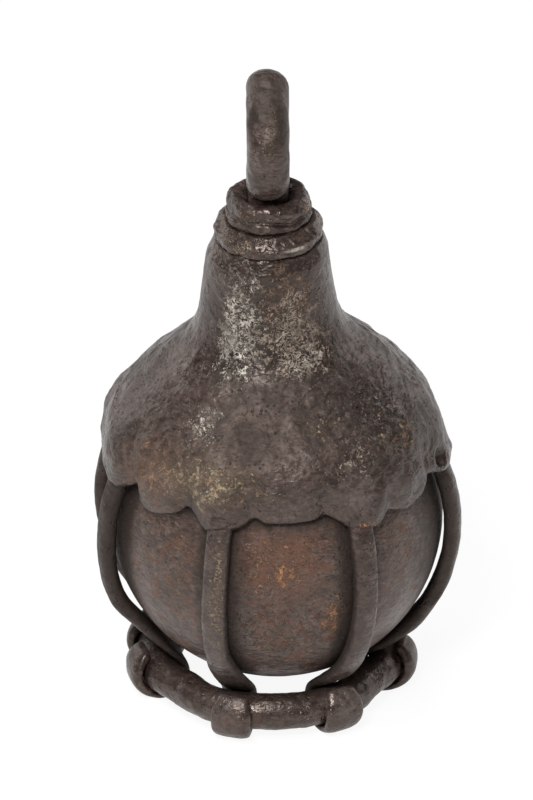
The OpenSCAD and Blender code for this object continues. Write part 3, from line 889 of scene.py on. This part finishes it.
def bar_rings(sizes, top_way, in_way, tip_way, stand_off):
    """Cross-sections of a bar, from its top under the hood, down the ball and round the ring to its tip.

    Angle t runs down the ball from its top. Angle a runs round the ring's bar from its outside, over its top
    """
    sides = 20
    ring_r = sizes.ring_diameter / 2
    inner = sizes.ball_radius + sizes.ball_play
    path_r = sizes.ring_bar / 2 + sizes.wrap_gap + sizes.strap_thickness / 2
    reach = inner + sizes.strap_thickness / 2 + path_r
    drop = BALL.z - RING.z
    offset = RING - BALL

    def ring_distance(way):
        """From the ball's axis to the ring's centre line, in a direction"""
        along = -offset.y * math.cos(way) + offset.x * math.sin(way)
        return along + math.sqrt(ring_r ** 2 - offset.x ** 2 - offset.y ** 2 + along ** 2)

    def ring_way(way):
        """The same place's direction from the ring's own axis"""
        d = ring_distance(way)
        return math.atan2(d * math.sin(way) - offset.x, d * math.cos(way) + offset.y)

    top_way, in_way, tip_way = (math.radians(way) for way in (top_way, in_way, tip_way))
    # Where the bar leaves the ball on a tangent, and where it starts and ends round the ring
    d = ring_distance(in_way)
    run = math.sqrt(max(0.0, drop ** 2 + d * d - reach ** 2))
    leave = math.pi - math.atan2(d, drop) - math.atan2(run, reach)
    start = 1.5 * math.pi - leave
    end = 2 * math.pi + sizes.tip_angle
    flare = mix(sizes.bar_width, sizes.strap_width, 0.5)
    # Angles down the ball: where the bar begins to turn to its inner direction, where it begins to stand off
    # the ball, and where it stands off most
    turn_angle = math.radians(75)
    bulge = mix(turn_angle, leave, 0.3)
    low = mix(turn_angle, leave, 0.75)

    def by_ball(t, way, w, h, off, power):
        made = []
        for c0, c1 in section(sides, power):
            across = w / 2 * c0
            out = inner + off + h / 2 * (1 + c1)
            r = out * math.sin(t)
            made.append(BALL + Vector((r * math.sin(way) + across * math.cos(way),
                                       -r * math.cos(way) + across * math.sin(way), out * math.cos(t))))
        return made

    def round_ring(a, w, h, crown):
        way = mix(ring_way(in_way), ring_way(tip_way), ease(a, start + math.radians(60), 2 * math.pi))
        made = []
        for c0, c1 in cushion(sides, crown):
            out = path_r - h / 2 * c1
            r = ring_r + out * math.cos(a)
            turn = way + w / 2 * c0 / r
            made.append(Vector((RING.x + r * math.sin(turn), RING.y - r * math.cos(turn),
                                max(0.0, RING.z + out * math.sin(a)))))
        return made

    rings = []
    arcs = 36
    for i in range(arcs + 1):
        t = mix(sizes.bar_top, leave, i / arcs)
        way = mix(top_way, in_way, ease(t, turn_angle, leave))
        flat = ease(t, leave - math.radians(14), leave)
        off = stand_off * MM * ease(t, bulge, low) * (1 - ease(t, low, leave))
        rings.append(by_ball(t, way, mix(sizes.bar_width, flare, flat),
                             mix(sizes.bar_thickness, sizes.strap_thickness, 0.4 * flat), off,
                             mix(0.74, 0.8, flat)))
    first = round_ring(start, sizes.strap_width, sizes.strap_thickness, 1.0)
    last = rings[-1]
    for u in (0.2, 0.4, 0.6, 0.8):
        rings.append([a.lerp(b, u) for a, b in zip(last, first)])
    wraps = 36
    tip = math.radians(14)
    for i in range(wraps + 1):
        a = mix(start, end - tip, i / wraps)
        # Fuller over the ring's outside, and drawn thinner towards the tip
        swell = ease(a, math.radians(285), math.radians(350))
        thin = ease(a, end - math.radians(50), end)
        width = sizes.strap_width * (0.93 + 0.12 * swell) * (1 - 0.28 * thin)
        thick = sizes.strap_thickness * (1.0 + 0.1 * swell)
        crown = 1.0 + 0.4 * swell * (1 - 0.4 * thin)
        rings.append(round_ring(a, width, thick, crown))
    # The rounded tip, closed just short of its very end
    for k in range(1, 7):
        s = k / 6.4
        a = end - tip + tip * s
        shrink = math.sqrt(1 - s * s)
        rings.append(round_ring(a, width * (0.62 + 0.38 * shrink), thick * shrink, crown))
    return rings


class WEIGHT_OT_cage_bars(bpy.types.Operator):
    """Models the seven forged bars of the cage"""
    bl_idname = "weight.cage_bars"
    bl_label = "Cage bars"

    def execute(self, context):
        sizes = context.scene.weight_cage
        inner = sizes.ball_radius + 0.5 * sizes.ball_play

        def keep_clear(p):
            """Clear of the ball, and never below the ground"""
            away = p - BALL
            p = BALL + away.normalized() * max(away.length, inner)
            p.z = max(p.z, 0.0)
            return p

        for node, *ways in BARS:
            piece = lofted(node + "_bar", bar_rings(sizes, *ways))
            smoothed(piece, 2)
            dented(piece, 9, 0.5, 1)
            dented(piece, 3.4, 0.3, 2)
            reshape(piece, keep_clear)
            finish_piece(piece, [node], bpy.data.materials["Cage iron"], "cage")
        return {"FINISHED"}


# The hood's inside, in mm: radius of the tang's hole, and radius and ceiling of the pocket for the washer
TANG_HOLE = 5.65
POCKET = 12.6
POCKET_TOP = 59.8


def hem_height(way):
    """Height of the hem above the ball's centre, in mm, in a direction in degrees"""
    first, height = HEM[0]
    way = (way - first) % 360 + first
    points = HEM + [(first + 360, height)]
    for (a, ha), (b, hb) in zip(points, points[1:]):
        if a <= way <= b:
            return mix(ha, hb, 0.5 * (way - a) / (b - a) + 0.5 * ease(way, a, b))
    return height


def turned_from(way, other):
    """Degrees from one direction to another"""
    return (way - other + 180) % 360 - 180


def near(p, centre, radii):
    """1 at a centre in mm, falling away to 0 beyond the radii"""
    u = Vector(((p.x - centre[0]) / radii[0], (p.y - centre[1]) / radii[1], (p.z - centre[2]) / radii[2])).length
    return 1 - ease(u, 0.3, 1.0)


def hood_lumps(p):
    """How far the hood's skin stands out, in mm, at a place in mm from the ball's centre"""
    broad = 0.55 * lump(p, 15.0) + 0.5 * lump(p, 7.5, 2.0)
    fine = 0.34 * lump(p, 3.6, 5.0) + 0.16 * lump(p, 1.9, 9.0)
    creased = near(p, (33.0, -24.0, 48.0), (30.0, 28.0, 22.0))
    bent = Vector((p.x * 0.45, p.y * 0.45, p.z + 1.6 * lump(p, 6.0, 1.0)))
    folds = 1 - 2 * abs(lump(bent, 2.3, 4.0))
    smooth = near(p, (-42.0, -10.0, 52.0), (24.0, 30.0, 22.0))
    height = broad + fine * (1 - 0.6 * smooth) + 0.8 * creased * folds
    for centre, radius, depth in HOOD_PITS:
        height -= depth * near(p, centre, (radius, radius, radius))
    return height


class WEIGHT_OT_hood(bpy.types.Operator):
    """Models the hood with its neck, its scalloped hem and the swellings over the bars"""
    bl_idname = "weight.hood"
    bl_label = "Hood"

    def execute(self, context):
        sizes = context.scene.weight_hood
        cage = context.scene.weight_cage
        hem = sizes.hem_height / MM
        seat = (cage.ball_radius + sizes.seat_gap) / MM
        top = sizes.neck_top / MM
        seat_edge = math.sqrt(seat ** 2 - hem ** 2)
        # Up the outside, down the tang's hole and the pocket, and back to the hem beside the ball
        outline = rounded([
            (seat_edge, hem, 0), (57.0, hem, 3.0), (51.98, 41.8, 28), (23.0, 68.0, 26), (19.2, top - 4.6, 4),
            (17.3, top - 0.4, 1.0), (16.4, top, 0.3), (TANG_HOLE, top, 0), (TANG_HOLE, POCKET_TOP, 0),
            (POCKET, POCKET_TOP, 0), (POCKET, math.sqrt(seat ** 2 - POCKET ** 2), 0),
        ], 14)
        last = math.atan2(POCKET, outline[-1].y)
        first = math.atan2(seat_edge, hem)
        for k in range(1, 24):
            a = mix(last, first, k / 24)
            outline.append(Vector((seat * math.sin(a), seat * math.cos(a))))

        def spacing(here, there):
            """Corners stand closer together where the hood shows"""
            if min(here.length, there.length) < seat + 0.5 or max(here.x, there.x) < 16:
                return 6.0
            return 0.75 if here.y < 60 else 0.9

        outline = filled_in(outline, spacing)
        corners = [BALL + Vector((p.x, 0.0, p.y)) * MM for p in outline]
        piece = spun("hood_bell", corners, BALL, (0, 0, 1), 432)

        def flattened(z):
            """How much flatter the hood's flank is at a height, in mm"""
            return 0.8 * ease(z, hem, hem + 8) * (1 - ease(z, 42, 58))

        def shape(p):
            """A corner's place once the hem is scalloped, the dome and the neck are shaped and all is leaned"""
            p = (p - BALL) / MM
            r = math.hypot(p.x, p.y)
            rho = p.length
            way = math.degrees(math.atan2(p.x, -p.y))
            # How far round to the left a place is, where the dome stands in over the left bar
            left = ease(-p.x / max(r, 1.0), 0.75, 0.95)
            if p.z < 52 and rho > seat - 0.2 and r > 20:
                # The dome, slid up or down to the hem's height in its direction
                inside = 1 - ease(rho, seat + 0.3, seat + 4)
                smooth = sum(hem_height(way + k * 0.45) for k in (-2, -1, 0, 1, 2)) / 5
                rise = smooth - hem
                z = p.z + rise * (1 - ease(p.z, hem, hem + 25))
                # Pulled in along the hem where a bar comes out, and swollen a little higher up
                pull = 0.0
                swell = 0.0
                for node, top_way, *others in BARS:
                    x = 57 * math.radians(turned_from(way, top_way))
                    pull = max(pull, math.exp(-(x / 6.0) ** 2))
                    swell = max(swell, math.exp(-(x / 5.5) ** 2))
                sunk = 1.35 * (1 - 0.9 * math.sin(math.radians(way)) ** 2)
                thinner = mix(sunk * pull, 1.5, left) * (1 - ease(z, hem, hem + 9))
                thinner += flattened(z) * (1 - left * (1 - ease(z, 36, 48)))
                thinner -= 0.5 * swell * ease(z, hem + 5, hem + 11) * (1 - ease(z, hem + 12, hem + 24))
                outer = rho - (1 - inside) * thinner
                # In front the hem is drawn thinner between the bars
                front = ease(math.cos(math.radians(way)), 0.35, 0.6)
                thin = (1 - pull) * front * (1 - ease(z - hem - rise, 0, 12))
                outer = mix(outer, mix(seat, outer, 0.5), thin)
                z = min(z, outer - 1)
                r_new = math.sqrt(max(0.0, outer ** 2 - z * z))
                p = Vector((p.x * r_new / r, p.y * r_new / r, z))
                rho = outer
            elif rho > seat - 0.2 and r > 15:
                # The upper dome and the neck, which is bent a little to the left
                p = p * (1 - flattened(p.z) / rho)
                p.x -= 0.6 * ease(p.z, 60, 76) * (1 - ease(p.z, 92, 100))
            outside = ease(p.length, seat + 0.6, seat + 3.0) * ease(r, 10, 16)
            if outside > 0:
                p += p.normalized() * outside * hood_lumps(p)
            if rho > seat + 0.3 or r < POCKET + 0.2:
                # Leaned over, but for the face beside the ball
                set_over = leaned(BALL + p * MM, sizes)
                w = ease(rho, seat + 0.3, seat + 3.5) if r > POCKET + 0.2 else 1.0
                return (BALL + p * MM).lerp(set_over, w)
            return BALL + p * MM

        reshape(piece, shape)
        finish_piece(piece, ["hood"], bpy.data.materials["Hood iron"], "cage")
        return {"FINISHED"}


# Rounding of the square stem's corners, and radius of the bead's hole before it is fitted to the stem, in mm
STEM_CORNER = 3.2
BEAD_HOLE = 8.02


class WEIGHT_OT_collars(bpy.types.Operator):
    """Models the two collars on the neck"""
    bl_idname = "weight.collars"
    bl_label = "Collars"

    def execute(self, context):
        sizes = context.scene.weight_hood
        low = sizes.neck_top / MM
        band = sizes.band_height / MM
        bead = sizes.bead_height / MM
        # Section of each collar, as (distance from the axis, height above its foot, rounding)
        shapes = {
            "neck_band": [(TANG_HOLE, 0, 0), (16.9, 0, 1.1), (17.3, band * 0.5, 2.4), (14.5, band, 1.0),
                          (TANG_HOLE, band, 0)],
            "top_bead": [(BEAD_HOLE, 0, 0), (13.8, 0, 1.5), (13.6, 3.3, 1.4), (12.4, 3.5, 0.5), (13.5, 4.4, 1.2),
                         (13.2, bead + 0.7, 3.2), (9.6, bead + 1.0, 1.6), (BEAD_HOLE, bead - 0.7, 0)],
        }
        square = (sizes.stem_width / 2 - STEM_CORNER * MM) / MM

        def to_stem(way):
            """Distance of the stem's rounded square outline in a direction, in mm"""
            x, y = abs(math.cos(way)), abs(math.sin(way))
            side = (square + STEM_CORNER) / max(x, y)
            b = square * (x + y)
            bend = b * b - 2 * square * square + STEM_CORNER * STEM_CORNER
            corner = b + math.sqrt(max(0.0, bend))
            return side if side * min(x, y) <= square else corner

        for node, base in (("neck_band", low), ("top_bead", low + band)):
            outline = filled_in(rounded(shapes[node], 10), lambda a, b: 0.5)
            corners = [BALL + Vector((p.x, 0.0, p.y + base)) * MM for p in outline]
            piece = spun(node + "_ring", corners, BALL, (0, 0, 1), 180)

            def forged(p):
                p = (p - BALL) / MM
                r = math.hypot(p.x, p.y)
                way = math.atan2(p.y, p.x)
                high = p.z - base
                out = ease(r, 9.0, 12.0)
                if node == "top_bead":
                    # The hole follows the stem, 0.12 mm from it, and the bead is hammered into flats
                    r_new = r - (BEAD_HOLE - to_stem(way) - 0.12) * (1 - ease(r, 8.0, 11.0))
                    facet = 0.5 * abs(math.cos(2.5 * way + 0.7)) * ease(high, 3.5, 6.0)
                    wave = 0.5 * math.sin(3 * way + 1.0) + 0.3 * math.sin(7 * way)
                else:
                    r_new = r
                    facet = 0.0
                    wave = 0.35 * math.sin(2 * way + 2.0) + 0.2 * math.sin(5 * way)
                swell = 0.9 * lump(p, 6.5, 2.0) + 0.5 * lump(p, 3.0, 5.0) + 0.22 * lump(p, 1.6, 8.0)
                r_new += out * (swell - facet)
                z = p.z + out * wave * math.sin(math.pi * min(1.0, max(0.0, high / bead)))
                return leaned(BALL + Vector((p.x * r_new / r, p.y * r_new / r, z)) * MM, sizes)

            reshape(piece, forged)
            finish_piece(piece, [node], bpy.data.materials["Collar iron"], "cage")
        return {"FINISHED"}


class WEIGHT_OT_eye(bpy.types.Operator):
    """Models the eye and its square stem"""
    bl_idname = "weight.eye"
    bl_label = "Eye"

    def execute(self, context):
        sizes = context.scene.weight_hood
        bar = sizes.eye_bar / 2
        hole = sizes.eye_hole / 2
        ring = hole - 0.3 * MM + bar
        # A little slimmer than its size, to leave room for the lumps
        slimmer = 0.985
        base = BALL.z + sizes.neck_top + sizes.band_height
        middle = Vector((0.0, BALL.y, base + sizes.bead_height + 0.2 * MM + ring + bar))
        outline = []
        for c0, c1 in section(28, 0.86):
            out = max(ring + bar * c1 * slimmer, hole)
            outline.append(middle + Vector((bar * c0 * slimmer, 0.0, out)))
        piece = spun("eye_ring", outline, middle, (1, 0, 0), 120)
        half = sizes.stem_width / 2
        corner = STEM_CORNER * MM
        above = base + sizes.bead_height
        stem = []
        for z in (base - 0.5 * MM, base + 4 * MM, above - 1 * MM, above + 2.5 * MM, above + 5.5 * MM):
            ring_now = []
            for qx, qy in ((1, 1), (-1, 1), (-1, -1), (1, -1)):
                for k in range(5):
                    a = math.atan2(qy, qx) - math.pi / 4 + math.pi / 2 * k / 4
                    ring_now.append(Vector((qx * (half - corner) + corner * math.cos(a),
                                            qy * (half - corner) + corner * math.sin(a), z)))
            stem.append(ring_now)
        post = lofted("eye_stem", stem)
        only(piece)
        post.select_set(True)
        bpy.ops.object.join()
        join = piece.modifiers.new("Forge weld", "REMESH")
        join.mode = "VOXEL"
        join.voxel_size = 0.42 * MM
        apply_modifier(piece, join)
        soft = piece.modifiers.new("Soft edges", "SMOOTH")
        soft.iterations = 4
        soft.factor = 0.5
        apply_modifier(piece, soft)

        def forged(p):
            """Lumpy, worn blunt before and behind the top, a little right of true up there, and leaned"""
            away = Vector((0.0, p.y - middle.y, p.z - middle.z))
            q = (p - BALL) / MM
            out = ease(away.length, hole + 0.6 * MM, hole + 4 * MM)
            swell = 0.45 * lump(q, 8.0, 1.0) + 0.4 * lump(q, 4.2, 6.0) + 0.14 * lump(q, 2.0, 3.0)
            tilt = math.degrees(math.atan2(away.y, away.z))
            blunt = 0.5 * math.exp(-((tilt + 14) / 12) ** 2) + 0.95 * math.exp(-((tilt - 32) / 20) ** 2)
            blunt *= 1 + 0.5 * ease(q.x, 1, 6)
            if away.length > 1 * MM:
                p = p + away.normalized() * (swell - blunt) * out * MM
            p.x += (out * 0.3 * lump(q, 6.0, 8.0) + 0.4 * ease(q.z, 122, 132)) * MM
            return leaned(p, sizes)

        reshape(piece, forged)
        finish_piece(piece, ["eye"], bpy.data.materials["Eye iron"], "cage")
        return {"FINISHED"}


class WEIGHT_OT_washer(bpy.types.Operator):
    """Gives the washer inside the hood its finish"""
    bl_idname = "weight.washer"
    bl_label = "Washer"

    def execute(self, context):
        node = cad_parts["burr_washer"]
        node.data.materials.clear()
        node.data.materials.append(bpy.data.materials["Collar iron"])
        return {"FINISHED"}


class WEIGHT_OT_finishes(bpy.types.Operator):
    """Makes the iron finishes"""
    bl_idname = "weight.finishes"
    bl_label = "Finishes"

    def execute(self, context):
        EFFECTS.update(mottle=make_mottle(), specks=make_specks(), clumps=make_clumps(), patch=make_patch(),
                       rust=make_rust(), relief=make_relief(), bar_marks=make_bar_shade(),
                       inner_grime=make_inner_grime())
        for name, (paints, settings) in FINISHES.items():
            iron(name, paints, **settings)
        return {"FINISHED"}


class WEIGHT_OT_studio(bpy.types.Operator):
    """Sets the floor, the light and the camera"""
    bl_idname = "weight.studio"
    bl_label = "Studio"

    def execute(self, context):
        scene = context.scene
        studio = scene.weight_studio
        only()
        bpy.ops.mesh.primitive_plane_add(size=12.0, location=(0.0, 0.0, -0.05 * MM))
        floor = settle("studio_floor")
        pale = bpy.data.materials.new("Studio floor")
        pale.use_nodes = True
        w = Wiring(pale.node_tree)
        shader = pale.node_tree.nodes["Principled BSDF"]
        w.fill(shader, Base_Color=studio.floor, Roughness=0.9, Specular_IOR_Level=0.1)
        # The camera sees the floor as a mix of shaded paper and a glow just past white, which keeps only a
        # faint shadow, and the wax mirrors half of that glow
        glow = w.fill(w.add("ShaderNodeEmission"), Strength=1.07)[0]
        path = w.add("ShaderNodeLightPath").outputs
        seen = w.plus(w.times(path["Is Camera Ray"], 0.86), w.times(path["Is Glossy Ray"], 0.5), clamp=True)
        both = w.add("ShaderNodeMixShader")
        for socket, value in zip(both.inputs, (seen, shader.outputs[0], glow)):
            w.feed(socket, value)
        w.fill(pale.node_tree.nodes["Material Output"], Surface=both.outputs[0])
        floor.data.materials.append(pale)

        world = bpy.data.worlds.new("White surround")
        scene.world = world
        world.use_nodes = True
        w = Wiring(world.node_tree)
        # White to the camera, and no more than a dim surround to the iron
        white = w.add("ShaderNodeLightPath").outputs["Is Camera Ray"]
        w.fill(world.node_tree.nodes["Background"], Color=(1.0, 1.0, 1.0),
               Strength=w.plus(studio.sky, w.times(white, 1.0 - studio.sky)))

        aim = BALL + Vector((0.0, 0.0, 30 * MM))
        for name, place, size, power in (
            ("Key lamp", (-0.22, -0.95, 1.10), 0.36, studio.key),
            ("Glint lamp", (-0.30, -0.55, 1.20), 0.16, studio.glint),
            ("Top lamp", (-0.1, 0.25, 1.3), 0.6, studio.top),
            ("Left lamp", (-0.9, 0.7, 0.5), 0.7, studio.sides),
            ("Right lamp", (0.9, 0.7, 0.45), 0.7, studio.sides),
        ):
            bpy.ops.object.light_add(type="AREA", location=place)
            lamp = context.object
            lamp.name = name
            lamp.data.shape = "SQUARE"
            lamp.data.size = size
            lamp.data.energy = power
            lamp.rotation_euler = (aim - Vector(place)).to_track_quat("-Z", "Y").to_euler()
            lamp.visible_camera = False

        # The picture is this high at the weight, and its middle is this far left of the ball's and above it
        picture_height, aside, above = 254.66, -3.18, 35.17
        e = studio.elevation
        back = Vector((0.0, -math.cos(e), math.sin(e)))
        up = Vector((0.0, math.sin(e), math.cos(e)))
        aim = BALL + Vector((aside * MM, 0.0, 0.0)) + up * above * MM
        bpy.ops.object.camera_add(location=aim + back * studio.distance)
        camera = context.object
        camera.name = "Studio camera"
        camera.rotation_euler = (-back).to_track_quat("-Z", "Y").to_euler()
        camera.data.sensor_width = 36.0
        camera.data.lens = camera.data.sensor_width * studio.distance / (picture_height * MM)
        camera.data.clip_start = 0.1
        camera.data.clip_end = 100.0
        scene.camera = camera
        scene.view_settings.view_transform = "Standard"
        only()
        return {"FINISHED"}


class WEIGHT_PT_panel(bpy.types.Panel):
    """Lists the weight's pieces"""
    bl_idname = "WEIGHT_PT_panel"
    bl_label = "Steelyard weight"
    bl_space_type = "VIEW_3D"
    bl_region_type = "UI"
    bl_category = "Weight"

    def draw(self, context):
        scene = context.scene
        for title, group in (("Cage", scene.weight_cage), ("Hood", scene.weight_hood),
                             ("Finish", scene.weight_finish), ("Studio", scene.weight_studio)):
            box = self.layout.box()
            box.label(text=title)
            for name in group.__annotations__:
                box.prop(group, name)
        for operator in STEPS:
            self.layout.operator(operator.bl_idname)


GROUPS = [WeightCageSizes, WeightHoodSizes, WeightFinish, WeightStudio]
STEPS = [
    WEIGHT_OT_finishes, WEIGHT_OT_ball, WEIGHT_OT_base_ring, WEIGHT_OT_cage_bars, WEIGHT_OT_hood,
    WEIGHT_OT_collars, WEIGHT_OT_eye, WEIGHT_OT_washer, WEIGHT_OT_studio,
]


def register():
    for cls in GROUPS + STEPS + [WEIGHT_PT_panel]:
        bpy.utils.register_class(cls)
    bpy.types.Scene.weight_cage = bpy.props.PointerProperty(type=WeightCageSizes)
    bpy.types.Scene.weight_hood = bpy.props.PointerProperty(type=WeightHoodSizes)
    bpy.types.Scene.weight_finish = bpy.props.PointerProperty(type=WeightFinish)
    bpy.types.Scene.weight_studio = bpy.props.PointerProperty(type=WeightStudio)


def unregister():
    for name in ("weight_cage", "weight_hood", "weight_finish", "weight_studio"):
        delattr(bpy.types.Scene, name)
    for cls in reversed(GROUPS + STEPS + [WEIGHT_PT_panel]):
        bpy.utils.unregister_class(cls)


def main():
    register()
    bpy.ops.weight.finishes()
    bpy.ops.weight.ball()
    bpy.ops.weight.base_ring()
    bpy.ops.weight.cage_bars()
    bpy.ops.weight.hood()
    bpy.ops.weight.collars()
    bpy.ops.weight.eye()
    bpy.ops.weight.washer()
    bpy.ops.weight.studio()


if __name__ == "__main__":
    main()
